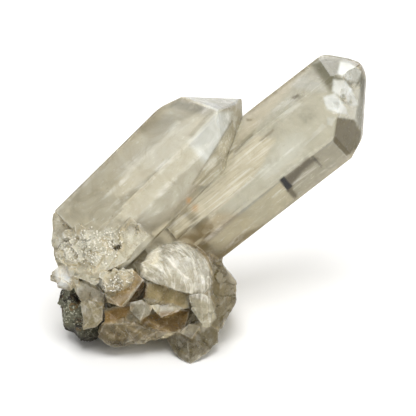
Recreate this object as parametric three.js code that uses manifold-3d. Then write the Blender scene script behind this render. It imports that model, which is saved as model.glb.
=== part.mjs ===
// A quartz crystal cluster: two long points that grew side by side out of one broken mass of quartz,
// with a remnant of dark host rock still stuck to one corner.
// Millimetres, +Z up, standing on the flat break of its base, origin under the middle of its box.
import * as THREE from "three";
import { ConvexGeometry } from "three/addons/geometries/ConvexGeometry.js";
import { mergeVertices } from "three/addons/utils/BufferGeometryUtils.js";
import Module from "manifold-3d";

const wasm = await Module();
wasm.setup();

// Driving dimensions
const SIDES = 6; // of a quartz prism
const TIP_SLOPE = 51.8; // quartz: degrees from the long axis to the normal of a tip face
const ABSENT = 400; // a tip face this far out never shows
const EDGE_WEAR = 0.3; // depth of the worn strip along a crystal's edges
const EYE_PITCH = 27; // degrees above level of the eye that the front of the base is set out for
const BACK_TAPER = 0.8; // how much of a fragment's outline is left at its buried end
const BREAK_DEPTH = 0.2; // how far a lump's flat breaks may be set in, as a share of its size
const GOLDEN_TURN = 2.39996; // radians from one break or grain to the next, which spreads them evenly
const GRAIN_FACETS = 10; // flat breaks on a grain of the sugary crust
const SHELL_DETAIL = 9; // how finely the rings of a shell break are drawn
const SCOOP_DETAIL = 2; // the same for a knocked-off flake
const ROCK_GAP = 0.3; // between the host rock and the quartz round it
const POCKET_SWELL = ROCK_GAP / (1 - BREAK_DEPTH); // so that the deepest breaks keep the gap too
const BELOW_FLOOR = 60; // size of what is cut off flat under the base

const deg = THREE.MathUtils.degToRad;
const vec = (x, y, z) => new THREE.Vector3(x, y, z);

// The direction that faces a compass heading, from +X towards +Y, at a pitch above level
function facing(heading, pitch) {
  const level = Math.cos(deg(pitch));
  return vec(level * Math.cos(deg(heading)), level * Math.sin(deg(heading)), Math.sin(deg(pitch)));
}

// From across, up and out towards the eye, as the front of the base is set out, to the part's axes
const fromSight = new THREE.Matrix4().makeBasis(
  vec(1, 0, 0),
  facing(90, 90 - EYE_PITCH),
  facing(-90, EYE_PITCH),
);

// A repeatable stream of numbers from 0 to 1
function numbersFrom(seed) {
  let state = seed >>> 0;
  return () => {
    state = (state + 0x6d2b79f5) >>> 0;
    let mixed = Math.imul(state ^ (state >>> 15), state | 1);
    mixed ^= mixed + Math.imul(mixed ^ (mixed >>> 7), mixed | 61);
    return ((mixed ^ (mixed >>> 14)) >>> 0) / 4294967296;
  };
}

// Solids from three.js geometry, and back
function solidOf(geometry) {
  const bare = geometry.clone();
  bare.deleteAttribute("normal");
  bare.deleteAttribute("uv");
  const merged = mergeVertices(bare, 1e-4);
  return new wasm.Manifold(
    new wasm.Mesh({
      numProp: 3,
      vertProperties: merged.attributes.position.array,
      triVerts: new Uint32Array(merged.index.array),
    }),
  );
}

function geometryOf(solid) {
  const mesh = solid.getMesh();
  const geometry = new THREE.BufferGeometry();
  geometry.setAttribute("position", new THREE.BufferAttribute(mesh.vertProperties, 3));
  geometry.setIndex(new THREE.BufferAttribute(mesh.triVerts, 1));
  return geometry;
}

const joined = (solids) => solids.reduce((whole, piece) => whole.add(piece));

// The corners of the convex body inside a set of planes, each { normal, distance } from the origin
function cornersInside(planes) {
  const corners = [];
  const cross = vec();
  for (let i = 0; i < planes.length; i++)
    for (let j = i + 1; j < planes.length; j++)
      for (let k = j + 1; k < planes.length; k++) {
        const [a, b, c] = [planes[i], planes[j], planes[k]];
        const volume = a.normal.dot(cross.crossVectors(b.normal, c.normal));
        if (Math.abs(volume) < 1e-6) continue;
        const corner = cross.clone().multiplyScalar(a.distance);
        corner.addScaledVector(vec().crossVectors(c.normal, a.normal), b.distance);
        corner.addScaledVector(vec().crossVectors(a.normal, b.normal), c.distance);
        corner.divideScalar(volume);
        if (planes.every((p) => p.normal.dot(corner) < p.distance + 1e-6)) corners.push(corner);
      }
  return corners;
}

// The same planes with a narrow strip worn along each edge where two faces meet
function withWornEdges(planes) {
  const corners = cornersInside(planes);
  const onPlane = (plane, corner) => Math.abs(plane.normal.dot(corner) - plane.distance) < 1e-5;
  const strips = [];
  planes.forEach((a, i) =>
    planes.slice(i + 1).forEach((b) => {
      const shared = corners.filter((corner) => onPlane(a, corner) && onPlane(b, corner));
      if (shared.length < 2) return;
      const normal = vec().addVectors(a.normal, b.normal).normalize();
      strips.push({ normal, distance: normal.dot(shared[0]) - EDGE_WEAR });
    }),
  );
  return [...planes, ...strips];
}

const convexSolid = (planes) => solidOf(new ConvexGeometry(cornersInside(planes)));
const breakPlane = ([heading, pitch, distance]) => ({ normal: facing(heading, pitch), distance });

// One quartz crystal. heading and lean give the long axis, in plan and above level, and roll turns
// the first prism face round it from the uphill side. widths are the six faces' distances from the
// axis, and reaches the height above the foot where each tip face would cross the axis.
function crystal({ foot, heading, lean, roll, widths, reaches, buried, slope = TIP_SLOPE, chips = [] }) {
  const axis = facing(heading, lean);
  const uphill = vec(0, 0, 1).addScaledVector(axis, -axis.z).normalize();
  const side = vec().crossVectors(axis, uphill);
  const planes = [{ normal: axis.clone().negate(), distance: buried }];
  for (let face = 0; face < SIDES; face++) {
    const turn = deg(roll + (face * 360) / SIDES);
    const outward = uphill.clone().multiplyScalar(Math.cos(turn)).addScaledVector(side, Math.sin(turn));
    planes.push({ normal: outward, distance: widths[face] });
    const tip = axis.clone().multiplyScalar(Math.cos(deg(slope)));
    tip.addScaledVector(outward, Math.sin(deg(slope)));
    planes.push({ normal: tip, distance: reaches[face] * Math.cos(deg(slope)) });
  }
  return convexSolid(withWornEdges([...planes, ...chips.map(breakPlane)])).translate(foot);
}

// A lump of broken stone: flat breaks round an ellipsoid, some of them deeper than others
function brokenLump({ at, radii, facets, seed, depth = BREAK_DEPTH }) {
  const random = numbersFrom(seed);
  const planes = [];
  for (let i = 0; i < facets; i++) {
    const height = 1 - (2 * i + 1) / facets + (random() - 0.5) * (1.2 / facets);
    const turn = i * GOLDEN_TURN + (random() - 0.5) * 0.9;
    const ring = Math.sqrt(Math.max(0, 1 - height * height));
    const normal = vec(ring * Math.cos(turn), ring * Math.sin(turn), height);
    const reach = vec(radii[0] * normal.x, radii[1] * normal.y, radii[2] * normal.z).length();
    planes.push({ normal, distance: reach * (1 - depth * random()) });
  }
  return convexSolid(planes).translate(at);
}

// A fragment whose corners are set out as they are seen, running back into the mass
function fragment({ corners, depth }) {
  const front = corners.map((corner) => vec(...corner));
  const middle = front.reduce((sum, corner) => sum.add(corner), vec()).divideScalar(front.length);
  const back = front.map((corner) =>
    corner.clone().lerp(middle, 1 - BACK_TAPER).setZ(middle.z - depth),
  );
  return solidOf(new ConvexGeometry([...front, ...back]).applyMatrix4(fromSight));
}

// The right-hand point, its tip chipped round, and the step of later growth along its front
const rightPoint = {
  foot: [3.3, 40.5, 37],
  heading: 16.3,
  lean: 34.6,
  roll: 58.9,
  widths: [14.3, 14.3, 16.2, 14.3, 14.3, 14.3],
  reaches: [ABSENT, 69, ABSENT, 80, ABSENT, 81.7],
  buried: 22,
  chips: [[68, 61, 59], [37, 50, 69.8], [12, 22, 69.7], [-2, -3, 53]],
};

const growthStep = {
  foot: [-8.2, 31.6, 35.8],
  heading: 18,
  lean: 33.7,
  roll: 58,
  widths: [7.5, 8.5, 9, 9, 9, 7.6],
  reaches: [ABSENT, 60, ABSENT, 60, ABSENT, 60],
  buried: 0,
};

// The left-hand point, with a wide tip face that lies nearly level
const leftPoint = {
  foot: [-23.5, 35, 41],
  heading: 24.1,
  lean: 38.7,
  roll: 84,
  widths: [17.2, 16, 13.7, 13.7, 14.2, 16],
  reaches: [ABSENT, ABSENT, 59, ABSENT, ABSENT, ABSENT],
  slope: 46,
  buried: 16.5,
  chips: [[41.1, 72.5, 42.4], [112.2, 34.5, 20], [0, 0, 41.5], [-19, 7, 36]],
};

// The broken mass that both points grew from: its hidden body, and what its front shows
const body = [
  { at: [-13, 36, 13], radii: [24, 23, 20], facets: 26, seed: 3 },
  { at: [-28, 39, 24], radii: [15, 14, 16], facets: 22, seed: 21 },
  { at: [-31, 38, 23.5], radii: [12, 15, 14], facets: 20, seed: 7 },
  { at: [1, 36, 14], radii: [10.5, 18, 18], facets: 20, seed: 5 },
];

// Smaller breaks over the back of the mass, which stands in for a side that isn't known
const backBreaks = {
  middle: [-14, 38, 17],
  reach: [22, 20, 17],
  headings: [5, 195],
  pitches: [-35, -5, 25],
  each: 6,
  radius: [4, 9],
  seed: 61,
};

function backLumps({ middle, reach, headings, pitches, each, radius, seed }) {
  const random = numbersFrom(seed);
  const between = ([low, high], share) => low + (high - low) * share;
  const lumps = [];
  pitches.forEach((pitch, row) => {
    for (let i = 0; i < each; i++) {
      const heading = between(headings, (i + between([0.3, 0.7], random())) / each);
      const way = facing(heading, pitch + between([-7, 7], random()));
      const at = way.multiply(vec(...reach)).add(vec(...middle)).toArray();
      const radii = [0, 1, 2].map(() => between(radius, random()));
      lumps.push({ at, radii, facets: GRAIN_FACETS, seed: seed + 10 * row + i, depth: 0.3 });
    }
  });
  return lumps;
}

const front = {
  shoulder: {
    corners: [
      [-36, 59, -4], [-40, 55, -3], [-45.5, 50, -3], [-46, 41, -2], [-45.5, 36.5, -1],
      [-44, 32.5, 0], [-39.5, 29.5, 2], [-30, 30.5, 5], [-21.5, 34, 5], [-17.5, 39, 4],
      [-13.5, 43, 2.5], [-20, 49.5, 4.5], [-28.5, 56, 0.5],
    ],
    depth: 24,
  },
  shoulderLip: {
    corners: [
      [-39.5, 29.5, 2.5], [-35.5, 28, 4], [-31.5, 26.5, 4.5], [-30.5, 27.5, 5], [-28.5, 31.5, 5.5],
      [-24, 37.5, 5.5], [-30, 41.5, 5.5], [-40, 38, 3.5], [-44.5, 35.5, 0],
    ],
    depth: 16,
  },
  underLip: {
    corners: [
      [-39, 28.5, -1], [-31.5, 26.5, 1], [-28.5, 23.5, 3], [-28.5, 18.5, 0.5], [-36, 20.5, -1],
      [-38.5, 24.5, -2],
    ],
    depth: 14,
  },
  sugaryLedge: {
    corners: [
      [-28.5, 27, 5.5], [-26, 28.5, 5], [-21.5, 31.5, 4], [-19, 32, 3], [-19, 27.5, 5],
      [-25, 24, 6.5], [-28.5, 24, 6],
    ],
    depth: 10,
  },
  tanBlock: {
    corners: [
      [-15.5, 28, 4], [-23, 19, 5], [-27.5, 20.5, 3.5], [-28.5, 23.5, 4.5], [-25.5, 27.5, 4],
      [-19, 31.5, 3], [-13.5, 26.5, -5], [-15.5, 21, -4],
    ],
    depth: 14,
  },
  oliveBlock: {
    corners: [
      [-14.5, 27.5, 1.5], [-8.5, 26.5, 1.5], [-1, 23.5, 0.5], [0, 18.5, -0.5], [-2.5, 18, 0],
      [-13.5, 19, 1], [-15.5, 22, 2],
    ],
    depth: 12,
  },
  greyCrystal: {
    corners: [
      [-20, 20.5, 3], [-16, 21.5, 3.5], [-14.5, 20, 4.5], [-12.5, 19, 3], [-13.5, 16.5, 2.5],
      [-16.5, 14.5, 4], [-20, 17.5, 3],
    ],
    depth: 8,
  },
  whiteLedge: {
    corners: [
      [-13, 19.5, 3], [-9, 20, 2.5], [-5.5, 20.5, 2], [-2, 18.5, 1.5], [-5.5, 17.5, 3],
      [-9.5, 15.5, 4], [-11.5, 17.5, 3.5],
    ],
    depth: 8,
  },
  brownWall: {
    corners: [
      [-28.5, 18.5, 0], [-21.5, 19.5, 0], [-10, 18.5, -2], [0, 18, -3], [-1.5, 12.5, -2],
      [-4, 10.5, -2], [-10, 9.5, -3], [-17.5, 12, 0], [-28.5, 13.5, 0],
    ],
    depth: 14,
  },
  leftChunk: {
    corners: [
      [-36.5, 20.5, 0], [-34, 21.5, 1], [-29, 19.5, 2], [-29, 14.5, 2.5], [-31, 12.5, 2],
      [-35.5, 11.5, 0], [-32.5, 17.5, 4],
    ],
    depth: 12,
  },
  slab: {
    corners: [
      [-31, 9, -1], [-28.5, 7, -1], [-25, 5.5, -2], [-20.5, 7, -3], [-15.5, 8, -4], [-8, 8.5, -6],
      [-4, 10.5, -3], [-10, 11, 0], [-16.5, 12.5, 2], [-22.5, 13.5, 3], [-28.5, 13.5, 2],
    ],
    depth: 18,
  },
  tail: {
    corners: [
      [-0.5, 23, 3], [3.5, 23.5, 4], [6.5, 22.5, 3], [8.5, 19.5, 1], [7.5, 15.5, 1], [6.5, 12.5, 2],
      [4.5, 12.5, 2.5], [0.5, 18.5, 2],
    ],
    depth: 10,
  },
  tablet: {
    corners: [[-3.5, 10.5, 1.5], [-0.5, 13.5, 1], [3.5, 12.5, 1], [0.5, 8.5, 2]],
    depth: 5,
  },
  foot: {
    corners: [
      [-8, 8.5, -6], [-6, 5, -4], [-4, 2.5, -2.5], [0, 0, 0], [3.5, 2, -1], [6.5, 4.5, -3],
      [9, 7.5, -5], [9.2, 11.5, -5], [3.5, 14.5, -0.5], [-1.5, 12, 0],
    ],
    depth: 18,
  },
  rightWall: {
    corners: [
      [7, 34, -4], [10.5, 34.5, -7], [12.5, 30.5, -8], [15.5, 26, -10], [15.5, 21.5, -10],
      [13.5, 17.5, -9], [9.5, 10.5, -7], [4.5, 12.5, -2], [4.5, 21.5, -1.5],
    ],
    depth: 26,
  },
};

// The fan: a lump that broke in rings round the place where it was struck, and is undercut in front
const fan = {
  middle: [-4.5, 30, -2.5],
  radii: [12.5, 10.5, 8.5],
  struck: [-0.8, -0.45, 0.4],
  rings: 15,
  ringDepth: 0.2,
  undercut: { normal: [-0.3, -0.94, -0.15], distance: 4 },
};

function fanSolid({ middle, radii, struck, rings, ringDepth, undercut }) {
  const geometry = new THREE.IcosahedronGeometry(1, SHELL_DETAIL);
  const places = geometry.attributes.position;
  const pole = vec(...struck).normalize();
  const under = vec(...undercut.normal).normalize();
  const point = vec();
  for (let i = 0; i < places.count; i++) {
    point.fromBufferAttribute(places, i).normalize();
    const ripple = 1 + (ringDepth / radii[1]) * Math.cos(rings * point.angleTo(pole));
    point.multiply(vec(...radii)).multiplyScalar(ripple);
    const past = Math.max(0, under.dot(point) - undercut.distance);
    point.addScaledVector(under, -past).add(vec(...middle));
    places.setXYZ(i, point.x, point.y, point.z);
  }
  return solidOf(geometry.applyMatrix4(fromSight));
}

// Sugary crusts: small broken grains half sunk in a domed patch of the front
const crusts = [
  { middle: [-32, 38.5, 4], spread: [11, 8], sag: 0.025, count: 26, radius: 2.6, seed: 41 },
  { middle: [-24, 28, 4.6], spread: [4.5, 3], sag: 0.02, count: 10, radius: 1.9, seed: 42 },
  { middle: [-20, 11, -0.8], spread: [8, 1.4], sag: 0.03, count: 10, radius: 2.2, seed: 43 },
  { middle: [-41, 29, -1.5], spread: [1.5, 1.5], sag: 0.05, count: 4, radius: 3, seed: 44 },
];

function crustGrains({ middle, spread, sag, count, radius, seed }) {
  const random = numbersFrom(seed);
  const grains = [];
  for (let i = 0; i < count; i++) {
    const share = Math.sqrt((i + 0.5) / count);
    const turn = i * GOLDEN_TURN;
    const across = spread[0] * share * Math.cos(turn);
    const up = spread[1] * share * Math.sin(turn);
    const out = -sag * (across * across + up * up);
    const at = vec(across, up, out).add(vec(...middle)).applyMatrix4(fromSight);
    const size = radius * (0.6 + 0.8 * random());
    const radii = [size * (0.9 + 0.6 * random()), size * 0.7, size * (0.8 + 0.5 * random())];
    grains.push(brokenLump({ at: at.toArray(), radii, facets: GRAIN_FACETS, seed: seed * 100 + i }));
  }
  return joined(grains);
}

// Flakes knocked off the right-hand tip and its front edge, and a pit in the shoulder. Each is a hollow
// that is long along one direction, and opens outward.
const acrossTip = { along: [0.37, -0.26, -0.89], outward: [0.9, -0.16, 0.42] };
const scoops = [
  { middle: [54.5, 96, -5.9], radii: [11, 4.2, 2], ...acrossTip },
  { middle: [53.4, 89, -5.5], radii: [13, 2.9, 2], ...acrossTip },
  { middle: [48, 86, -0.4], radii: [6.5, 4, 2.2], along: [0.95, -0.3, 0], outward: [0, 0, 1] },
  { middle: [-24.5, 39, 5.5], radii: [2, 1.3, 3], along: [0.9, 0.3, 0], outward: [0, 0, 1] },
];

function scoop({ middle, radii, along, outward }) {
  const out = vec(...outward).normalize();
  const width = vec().crossVectors(out, vec(...along)).normalize();
  const turned = new THREE.Matrix4().makeBasis(vec().crossVectors(width, out), width, out);
  const hollow = new THREE.IcosahedronGeometry(1, SCOOP_DETAIL).scale(...radii).applyMatrix4(turned);
  return solidOf(hollow.translate(...middle).applyMatrix4(fromSight));
}

// The host rock left in the low front corner
const rockLumps = [
  { at: [-38, 19, 10.5], radii: [5.5, 8, 8.5], facets: 24, seed: 51 },
  { at: [-34, 16, 5.5], radii: [6, 7, 4.5], facets: 22, seed: 52 },
  { at: [-39.5, 17.5, 15.5], radii: [3.5, 5, 4.5], facets: 16, seed: 53 },
];

const swollen = (lump) => ({ ...lump, radii: lump.radii.map((radius) => radius + POCKET_SWELL) });

function underFloor() {
  const size = BELOW_FLOOR * 4;
  const slab = new THREE.BoxGeometry(size, size, BELOW_FLOOR).translate(0, 0, -BELOW_FLOOR / 2);
  return solidOf(slab);
}

function quartzSolid() {
  const points = [rightPoint, growthStep, leftPoint].map(crystal);
  const breaks = [...body, ...backLumps(backBreaks)].map(brokenLump);
  const mass = [...breaks, ...Object.values(front).map(fragment), fanSolid(fan)];
  const lost = joined([...scoops.map(scoop), ...rockLumps.map(swollen).map(brokenLump)]);
  return joined([...points, ...mass, ...crusts.map(crustGrains)]).subtract(lost);
}

const rockSolid = () => joined(rockLumps.map(brokenLump));

function pieceOf(name, solid, colour, roughness) {
  const material = new THREE.MeshStandardMaterial({ color: colour, roughness, metalness: 0 });
  const mesh = new THREE.Mesh(geometryOf(solid.subtract(underFloor())), material);
  mesh.name = name;
  return mesh;
}

// The cluster, moved so that the origin lies under the middle of its box
const cluster = new THREE.Group();
cluster.add(pieceOf("quartz_cluster", quartzSolid(), 0xd8d2bc, 0.2));
cluster.add(pieceOf("host_rock", rockSolid(), 0x4a4436, 0.9));
const middle = new THREE.Box3().setFromObject(cluster).getCenter(vec()).setZ(0);
cluster.children.forEach((mesh) => mesh.geometry.translate(-middle.x, -middle.y, 0));

export default cluster;
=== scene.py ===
import math

import bmesh
import bpy
import numpy as np
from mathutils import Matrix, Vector, noise


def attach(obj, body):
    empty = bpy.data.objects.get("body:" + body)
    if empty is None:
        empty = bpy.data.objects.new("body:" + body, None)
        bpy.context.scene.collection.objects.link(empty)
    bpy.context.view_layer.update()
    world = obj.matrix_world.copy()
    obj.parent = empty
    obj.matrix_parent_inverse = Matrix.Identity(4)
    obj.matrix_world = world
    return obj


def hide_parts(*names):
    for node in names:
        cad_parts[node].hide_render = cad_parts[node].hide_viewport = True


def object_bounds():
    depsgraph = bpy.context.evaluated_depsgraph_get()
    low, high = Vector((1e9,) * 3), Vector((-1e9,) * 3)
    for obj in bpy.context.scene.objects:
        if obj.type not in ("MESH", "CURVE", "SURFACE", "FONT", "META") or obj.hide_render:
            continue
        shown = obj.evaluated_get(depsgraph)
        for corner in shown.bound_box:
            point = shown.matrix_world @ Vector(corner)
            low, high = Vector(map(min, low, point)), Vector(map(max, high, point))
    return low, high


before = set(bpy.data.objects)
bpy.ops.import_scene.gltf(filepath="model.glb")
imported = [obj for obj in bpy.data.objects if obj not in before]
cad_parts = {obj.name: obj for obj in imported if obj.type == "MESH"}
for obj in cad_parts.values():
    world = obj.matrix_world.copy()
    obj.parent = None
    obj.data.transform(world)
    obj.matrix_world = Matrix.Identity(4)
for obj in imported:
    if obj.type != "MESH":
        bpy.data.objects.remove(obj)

noise.seed_set(4)   # the noise's own start, which is otherwise taken from the clock
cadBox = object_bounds()
print("frame loaded:", sorted(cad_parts))

# How the cluster is set out as seen from the front, in points of a square picture
sight = {
    "pitch": 27.0,                   # degrees that the eye looks down
    "side": 416.0,                   # of the square picture, in its points
    "perMm": 3.0,                    # picture points to a millimetre
    "origin": (190.0, 364.0),        # picture point of the set-out's origin
    "shift": (6.275, 35.183, 0.0),   # mm, from the part's origin to the set-out's
    "distance": 3.0,                 # m, eye to object
}
eyeUp = np.array([0.0, math.sin(math.radians(sight["pitch"])), math.cos(math.radians(sight["pitch"]))])
eyeOut = np.array([0.0, -eyeUp[2], eyeUp[1]])


def fromPicture(px, py, out=0.0):
    across = (px - sight["origin"][0]) / sight["perMm"]
    up = (sight["origin"][1] - py) / sight["perMm"]
    place = np.array([across, 0.0, 0.0]) + up * eyeUp + out * eyeOut
    return Vector((place - np.array(sight["shift"])) / 1000.0)


def toPicture(points):
    # points in m, one row each, to picture points
    placed = points * 1000.0 + np.array(sight["shift"])
    px = sight["origin"][0] + placed[:, 0] * sight["perMm"]
    py = sight["origin"][1] - (placed @ eyeUp) * sight["perMm"]
    return np.stack([px, py], 1)


def ramp(values, low, high):
    share = np.clip((values - low) / (high - low), 0.0, 1.0)
    return share * share * (3.0 - 2.0 * share)


def linear(red, green, blue):
    # a colour as a paint chart gives it, 0 to 255, to light
    return tuple(((c / 255.0 + 0.055) / 1.055) ** 2.4 for c in (red, green, blue))


# The crystals' own faces, which stay flat, in mm and degrees: each side's distance from the axis, how far
# its tip face reaches, and the chips as heading, pitch and distance
crystalFaces = {
    "right": {"foot": (3.3, 40.5, 37.0), "heading": 16.3, "lean": 34.6, "roll": 58.9, "slope": 51.8,
              "widths": (14.3, 14.3, 16.2, 14.3, 14.3, 14.3), "reaches": (400, 69, 400, 80, 400, 81.7),
              "chips": ((68, 61, 59), (37, 50, 69.8), (12, 22, 69.7), (-2, -3, 53))},
    "step": {"foot": (-8.2, 31.6, 35.8), "heading": 18.0, "lean": 33.7, "roll": 58.0, "slope": 51.8,
             "widths": (7.5, 8.5, 9, 9, 9, 7.6), "reaches": (400, 60, 400, 60, 400, 60), "chips": ()},
    "left": {"foot": (-23.5, 35.0, 41.0), "heading": 24.1, "lean": 38.7, "roll": 84.0, "slope": 46.0,
             "widths": (17.2, 16, 13.7, 13.7, 14.2, 16), "reaches": (400, 400, 59, 400, 400, 400),
             "chips": ((41.1, 72.5, 42.4), (112.2, 34.5, 20), (0, 0, 41.5), (-19, 7, 36))},
}


def facing(heading, pitch):
    h, p = math.radians(heading), math.radians(pitch)
    return np.array([math.cos(p) * math.cos(h), math.cos(p) * math.sin(h), math.sin(p)])


def faceDistance(points, faces):
    # mm outside a crystal's faces, which is nothing on them
    q = points * 1000.0 + np.array(sight["shift"]) - np.array(faces["foot"])
    axis = facing(faces["heading"], faces["lean"])
    uphill = np.array([0.0, 0.0, 1.0]) - axis * axis[2]
    uphill /= np.linalg.norm(uphill)
    side = np.cross(axis, uphill)
    slope = math.radians(faces["slope"])
    most = np.full(len(points), -1e9)
    for i in range(6):
        turn = math.radians(faces["roll"] + 60.0 * i)
        outward = uphill * math.cos(turn) + side * math.sin(turn)
        most = np.maximum(most, q @ outward - faces["widths"][i])
        tip = axis * math.cos(slope) + outward * math.sin(slope)
        most = np.maximum(most, q @ tip - faces["reaches"][i] * math.cos(slope))
    for heading, pitch, distance in faces["chips"]:
        most = np.maximum(most, q @ facing(heading, pitch) - distance)
    return most


onFace = (0.35, 0.6)   # mm: a point nearer than this is on a crystal's face, and one farther isn't


def crystalShare(points):
    # 1 on the crystals' faces, 0 on broken quartz
    nearest = np.min([np.abs(faceDistance(points, f)) for f in crystalFaces.values()], axis=0)
    return 1.0 - ramp(nearest, *onFace)


def coordsOf(mesh):
    coords = np.zeros(len(mesh.vertices) * 3)
    mesh.vertices.foreach_get("co", coords)
    return coords.reshape(-1, 3)


splitting = {
    "weld": 2e-6,                      # m, corners nearer than this are one
    "inOnePlane": math.radians(0.5),   # faces that meet at less are flat to each other
    # in each round, edges over so many times their limit are halved
    "rounds": (128, 64, 32, 16, 8, 4, 2, 1.4, 1),
}


def splitQuads(bm):
    bmesh.ops.triangulate(bm, faces=[f for f in bm.faces if len(f.verts) > 3])


def denserCopy(node, name, edgeFor):
    # a welded copy of a CAD node, its edges split to about edgeFor(middles), in mm
    bm = bmesh.new()
    bm.from_mesh(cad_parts[node].data)
    bmesh.ops.remove_doubles(bm, verts=bm.verts, dist=splitting["weld"])
    for times in splitting["rounds"]:
        # the longest go first, and flat neighbours are evened out, so that few slivers are left
        flat = [e for e in bm.edges
                if len(e.link_faces) == 2 and e.calc_face_angle(1.0) < splitting["inOnePlane"]]
        bmesh.ops.beautify_fill(bm, faces=bm.faces, edges=flat, method="ANGLE")
        ends = np.array([[*e.verts[0].co, *e.verts[1].co] for e in bm.edges])
        lengths = np.linalg.norm(ends[:, :3] - ends[:, 3:], axis=1) * 1000.0
        tooLong = lengths > times * edgeFor((ends[:, :3] + ends[:, 3:]) / 2)
        bm.edges.ensure_lookup_table()
        bmesh.ops.subdivide_edges(bm, edges=[bm.edges[i] for i in np.nonzero(tooLong)[0]], cuts=1)
        splitQuads(bm)
    bmesh.ops.dissolve_degenerate(bm, dist=splitting["weld"] / 2, edges=bm.edges)
    splitQuads(bm)
    mesh = bpy.data.meshes.new(name)
    bm.to_mesh(mesh)
    bm.free()
    mesh.validate()
    piece = bpy.data.objects.new(name, mesh)
    bpy.context.scene.collection.objects.link(piece)
    return piece


breaks = {"apart": 7.3, "most": 0.6}   # how far apart cells draw their tilts, and a tilt's most in cells


def breakCell(p, size, start):
    # where a point in mm lies among the cells of a break, and its own cell's centre
    q = Vector(p) / size + Vector((start, 2.3 * start, 0.7 * start))
    _, centres = noise.voronoi(q)
    return q, centres[0]


def brokenDepth(p, size, tilt, start):
    # mm in or out for a hackly break: every cell of stone has its own tilted face
    q, centre = breakCell(p, size, start)
    lean = (q - centre).dot(noise.noise_vector(centre * breaks["apart"]))
    return max(-breaks["most"], min(breaks["most"], lean)) * size * tilt


def cellValue(p, size, start):
    # from 0 to 1, scattered from cell to cell and the same all over one cell of a break
    _, centre = breakCell(p, size, start)
    return math.sin(centre.dot(Vector((127.1, 311.7, 74.7)))) * 43758.5 % 1.0


def moveAlongNormals(mesh, depths):
    coords = coordsOf(mesh)
    normals = np.array([v.normal for v in mesh.vertices])
    coords += normals * (depths / 1000.0)[:, None]
    low, high = np.array(cadBox[0]), np.array(cadBox[1])
    mesh.vertices.foreach_set("co", np.clip(coords, low, high).ravel())
    mesh.update()


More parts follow.
